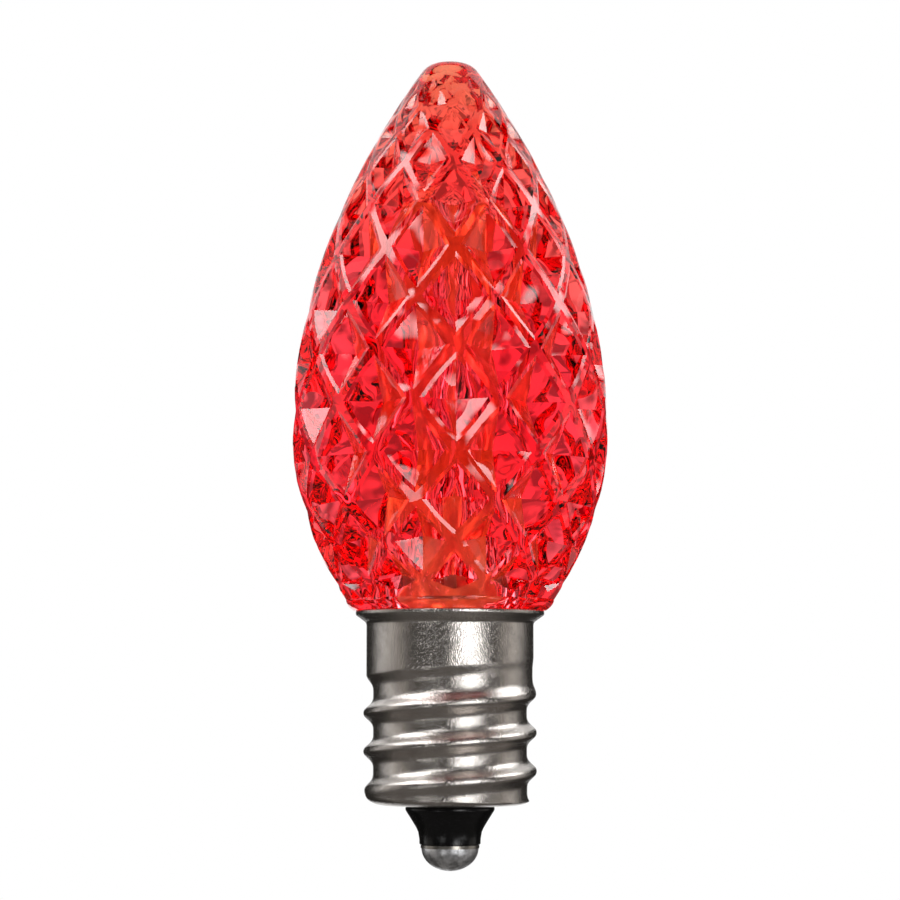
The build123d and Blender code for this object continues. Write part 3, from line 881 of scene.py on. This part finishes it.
class BULB_OT_inside(bpy.types.Operator):
    """Finishes the lamp board, its parts and its leads"""

    bl_idname = "bulb.inside"
    bl_label = "Lamp board"

    def execute(self, context):
        settings = context.scene.bulb_small
        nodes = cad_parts
        board = Vector(settings.board)
        lamp = Vector(settings.lamp)
        gold = plain_finish(
            "gold_faced_board", board, board * 0.8, roughness=(0.1, 0.3), metallic=0.7, bump=1.0,
            patch=700.0, grain=900.0)
        set_material(nodes["led_board"], gold)
        window = plain_finish("lamp_package", lamp, lamp * 0.85, roughness=(0.25, 0.35))
        for name in ("led_upper", "led_middle", "led_lower"):
            set_material(nodes[name], window)
        dark = plain_finish("dark_package", (0.2, 0.16, 0.13), (0.26, 0.2, 0.16), roughness=(0.45, 0.6))
        set_material(nodes["bridge_rectifier"], dark)
        chip = plain_finish("chip_ceramic", (0.2, 0.17, 0.15), (0.26, 0.22, 0.19), roughness=(0.3, 0.4))
        for name in ("resistor_lower", "resistor_upper"):
            set_material(nodes[name], chip)
        tan = plain_finish("tan_ceramic", (0.5, 0.36, 0.22), (0.42, 0.3, 0.18), roughness=(0.35, 0.5))
        set_material(nodes["capacitor"], tan)
        wire = plain_finish(
            "tinned_wire", (0.68, 0.66, 0.62), (0.58, 0.56, 0.52), roughness=(0.25, 0.35), metallic=1.0)
        for name in ("contact_lead", "shell_lead"):
            set_material(nodes[name], wire)
        return {"FINISHED"}


# Stage

def soft_light(name, azimuth, elevation, distance, width, height, strength):
    """A softbox that faces the bulb and is brightest in its middle."""
    turn, tilt = math.radians(azimuth), math.radians(elevation)
    way = Vector((math.sin(turn) * math.cos(tilt), -math.cos(turn) * math.cos(tilt), math.sin(tilt)))
    x, y = width / 2, height / 2
    obj = mesh_object(name, [(-x, -y, 0), (x, -y, 0), (x, y, 0), (-x, y, 0)], [(0, 1, 2, 3)])
    obj.location = (way * distance + Vector((0, 0, LIGHT_AIM))) * MM
    obj.rotation_euler = way.to_track_quat("Z", "Y").to_euler()
    material, tree, output = new_material(name)
    place = add_node(tree, "ShaderNodeTexCoord")
    centre = add_node(tree, "ShaderNodeMapping", Location=(-1.0, -1.0, 0.0), Scale=(2.0, 2.0, 0.0))
    blob = add_node(tree, "ShaderNodeTexGradient")
    blob.gradient_type = "SPHERICAL"
    spread = add_node(tree, "ShaderNodeMapRange", From_Max=0.5, To_Max=strength)
    spread.interpolation_type = "SMOOTHSTEP"
    glow = add_node(tree, "ShaderNodeEmission")
    tree.links.new(place.outputs["Generated"], centre.inputs["Vector"])
    tree.links.new(centre.outputs[0], blob.inputs["Vector"])
    tree.links.new(blob.outputs["Fac"], spread.inputs["Value"])
    tree.links.new(spread.outputs[0], glow.inputs["Strength"])
    tree.links.new(glow.outputs[0], output.inputs["Surface"])
    obj.data.materials.append(material)
    obj.visible_camera = False


def tone(name, value, swing=0.0):
    """A tone for a card of the stage, even or with soft lighter and darker patches."""
    material, tree, output = new_material(name)
    glow = add_node(tree, "ShaderNodeEmission", Color=(*value, 1.0), Strength=1.0)
    if swing:
        place = add_node(tree, "ShaderNodeTexCoord")
        noise = add_node(tree, "ShaderNodeTexNoise", Scale=22.0, Detail=1.0)
        spread = add_node(
            tree, "ShaderNodeMapRange", From_Min=0.42, From_Max=0.58, To_Min=1.0 - swing, To_Max=1.0 + swing)
        tree.links.new(place.outputs["Object"], noise.inputs["Vector"])
        tree.links.new(noise.outputs[0], spread.inputs["Value"])
        tree.links.new(spread.outputs[0], glow.inputs["Strength"])
    tree.links.new(glow.outputs[0], output.inputs["Surface"])
    return material


def card(name, corners, material):
    """A flat card of the stage, which only reflections see."""
    obj = mesh_object(name, corners, [(0, 1, 2, 3)])
    obj.data.materials.append(material)
    obj.visible_camera = False
    obj.visible_shadow = False
    obj.visible_diffuse = False
    obj.visible_transmission = False
    return obj


def upright(name, start, end, material, high=ROOM_HIGH):
    """A standing card between two points of the floor plan."""
    corners = [(*start, ROOM_LOW), (*end, ROOM_LOW), (*end, high), (*start, high)]
    return card(name, corners, material)


def lying(name, front, back, height, material):
    """A lying card as wide as the room."""
    x = ROOM_HALF
    corners = [(-x, front, height), (x, front, height), (x, back, height), (-x, back, height)]
    return card(name, corners, material)


def dark_room():
    """What metal and facets reflect: a dim room, a paler panel on each side, and dark flags by the shell."""
    dim = tone("dim_room", (0.056, 0.052, 0.048))
    left = tone("left_panel", (0.46, 0.435, 0.41))
    right = tone("right_panel", (0.54, 0.51, 0.48))
    roof = tone("grey_roof", (0.34, 0.32, 0.30))
    flag = tone("black_flag", (0.03, 0.028, 0.026))
    table = tone("dark_table", (0.13, 0.122, 0.114))
    x = ROOM_HALF
    upright("room_front", (-x, -x), (x, -x), dim)
    upright("room_left", (-x, -x), (-x, -150.0), dim)
    upright("room_right", (x, -x), (x, -90.0), dim)
    upright("left_panel", (-x, -150.0), (-x, 80.0), left)
    upright("right_panel", (x, -90.0), (x, 150.0), right)
    lying("room_top", -x, -60.0, ROOM_HIGH, flag)
    lying("room_roof", -60.0, 120.0, ROOM_HIGH, roof)
    lying("room_floor", -x, 160.0, ROOM_LOW, table)
    for side in (-FLAG_X, FLAG_X):
        upright("flag", (side, FLAG_FRONT), (side, FLAG_BACK), flag, FLAG_TOP)


def bright_room():
    """What shows through the clear plastic: uneven surroundings, darker in front."""
    front = tone("front_through", (0.72, 0.72, 0.72), swing=0.7)
    sides = tone("sides_through", (0.8, 0.8, 0.8), swing=0.6)
    back = tone("back_through", (0.86, 0.86, 0.86), swing=0.5)
    above = tone("above_through", (1.1, 1.1, 1.1), swing=0.5)
    x = ROOM_HALF
    for seen in (
            upright("front_through", (-x, -x), (x, -x), front),
            upright("left_through", (-x, -x), (-x, x), sides),
            upright("right_through", (x, -x), (x, x), sides),
            upright("back_through", (-x, x), (x, x), back),
            lying("top_through", -x, x, ROOM_HIGH, above)):
        seen.visible_glossy = False
        seen.visible_transmission = True


def show_white(tree, output, plain, white):
    """Camera, reflection and refraction see white, and all other rays see the plain shader."""
    path = add_node(tree, "ShaderNodeLightPath")
    mask = path.outputs["Is Camera Ray"]
    for ray in ("Is Glossy Ray", "Is Transmission Ray"):
        either = add_node(tree, "ShaderNodeMath")
        either.operation = "MAXIMUM"
        tree.links.new(mask, either.inputs[0])
        tree.links.new(path.outputs[ray], either.inputs[1])
        mask = either.outputs[0]
    mix = add_node(tree, "ShaderNodeMixShader")
    tree.links.new(mask, mix.inputs[0])
    tree.links.new(plain.outputs[0], mix.inputs[1])
    tree.links.new(white.outputs[0], mix.inputs[2])
    tree.links.new(mix.outputs[0], output.inputs["Surface"])


def white_world():
    """A world that looks white and gives soft light."""
    world = bpy.data.worlds.new("studio")
    bpy.context.scene.world = world
    world.use_nodes = True
    tree = world.node_tree
    tree.nodes.clear()
    output = add_node(tree, "ShaderNodeOutputWorld")
    white = add_node(tree, "ShaderNodeBackground", Color=WHITE)
    soft = add_node(tree, "ShaderNodeBackground", Color=WHITE, Strength=0.5)
    show_white(tree, output, soft, white)


def floor_material(settings):
    """A pale floor that looks white."""
    material, tree, output = new_material("pale_floor")
    matt = add_node(tree, "ShaderNodeBsdfDiffuse", Color=(*settings.floor, 1.0))
    white = add_node(tree, "ShaderNodeEmission", Color=WHITE)
    show_white(tree, output, matt, white)
    return material


def add_floor(settings):
    """A wide floor below the bulb."""
    x, z = FLOOR_HALF, -settings.floor_drop / MM
    floor = mesh_object("floor", [(-x, -x, z), (x, -x, z), (x, x, z), (-x, x, z)], [(0, 1, 2, 3)])
    floor.data.materials.append(floor_material(settings))


def add_camera(settings):
    """The camera, in front of the bulb and tilted up a little."""
    data = bpy.data.cameras.new("camera")
    data.sensor_width = 36.0
    data.lens = settings.focal
    data.clip_start = 0.01
    data.clip_end = 20.0
    camera = bpy.data.objects.new("camera", data)
    pitch = settings.camera_pitch
    away = settings.camera_distance
    camera.location = (0.0, -away * math.cos(pitch), settings.aim - away * math.sin(pitch))
    camera.rotation_euler = (math.pi / 2 + pitch, 0.0, 0.0)
    bpy.context.scene.collection.objects.link(camera)
    bpy.context.scene.camera = camera


class BULB_OT_stage(bpy.types.Operator):
    """Sets up the floor, the lights and the camera"""

    bl_idname = "bulb.stage"
    bl_label = "Stage"

    def execute(self, context):
        settings = context.scene.bulb_stage
        context.scene.view_settings.view_transform = "Standard"
        white_world()
        add_floor(settings)
        dark_room()
        bright_room()
        for name, values in SOFTBOXES.items():
            soft_light(name, *values)
        add_camera(settings)
        return {"FINISHED"}


# Panel and registration

STEPS = (BULB_OT_lens, BULB_OT_shell, BULB_OT_contact, BULB_OT_inside, BULB_OT_stage)
GROUPS = {
    "bulb_lens": LensSettings,
    "bulb_shell": ShellSettings,
    "bulb_small": SmallPartSettings,
    "bulb_stage": StageSettings,
}


class BULB_PT_panel(bpy.types.Panel):
    """Sizes, colours and steps of the bulb"""

    bl_idname = "BULB_PT_panel"
    bl_label = "Bulb"
    bl_space_type = "VIEW_3D"
    bl_region_type = "UI"
    bl_category = "Bulb"

    def draw(self, context):
        layout = self.layout
        for group in GROUPS:
            settings = getattr(context.scene, group)
            box = layout.box()
            for name in settings.bl_rna.properties.keys():
                if name not in ("rna_type", "name"):
                    box.prop(settings, name)
        for step in STEPS:
            layout.operator(step.bl_idname)


def register():
    for group in GROUPS.values():
        bpy.utils.register_class(group)
    for step in STEPS:
        bpy.utils.register_class(step)
    bpy.utils.register_class(BULB_PT_panel)
    for name, group in GROUPS.items():
        setattr(bpy.types.Scene, name, bpy.props.PointerProperty(type=group))


def unregister():
    for name in GROUPS:
        delattr(bpy.types.Scene, name)
    bpy.utils.unregister_class(BULB_PT_panel)
    for step in reversed(STEPS):
        bpy.utils.unregister_class(step)
    for group in GROUPS.values():
        bpy.utils.unregister_class(group)


def main():
    register()
    bpy.ops.bulb.lens()
    bpy.ops.bulb.shell()
    bpy.ops.bulb.contact()
    bpy.ops.bulb.inside()
    bpy.ops.bulb.stage()


if __name__ == "__main__":
    main()
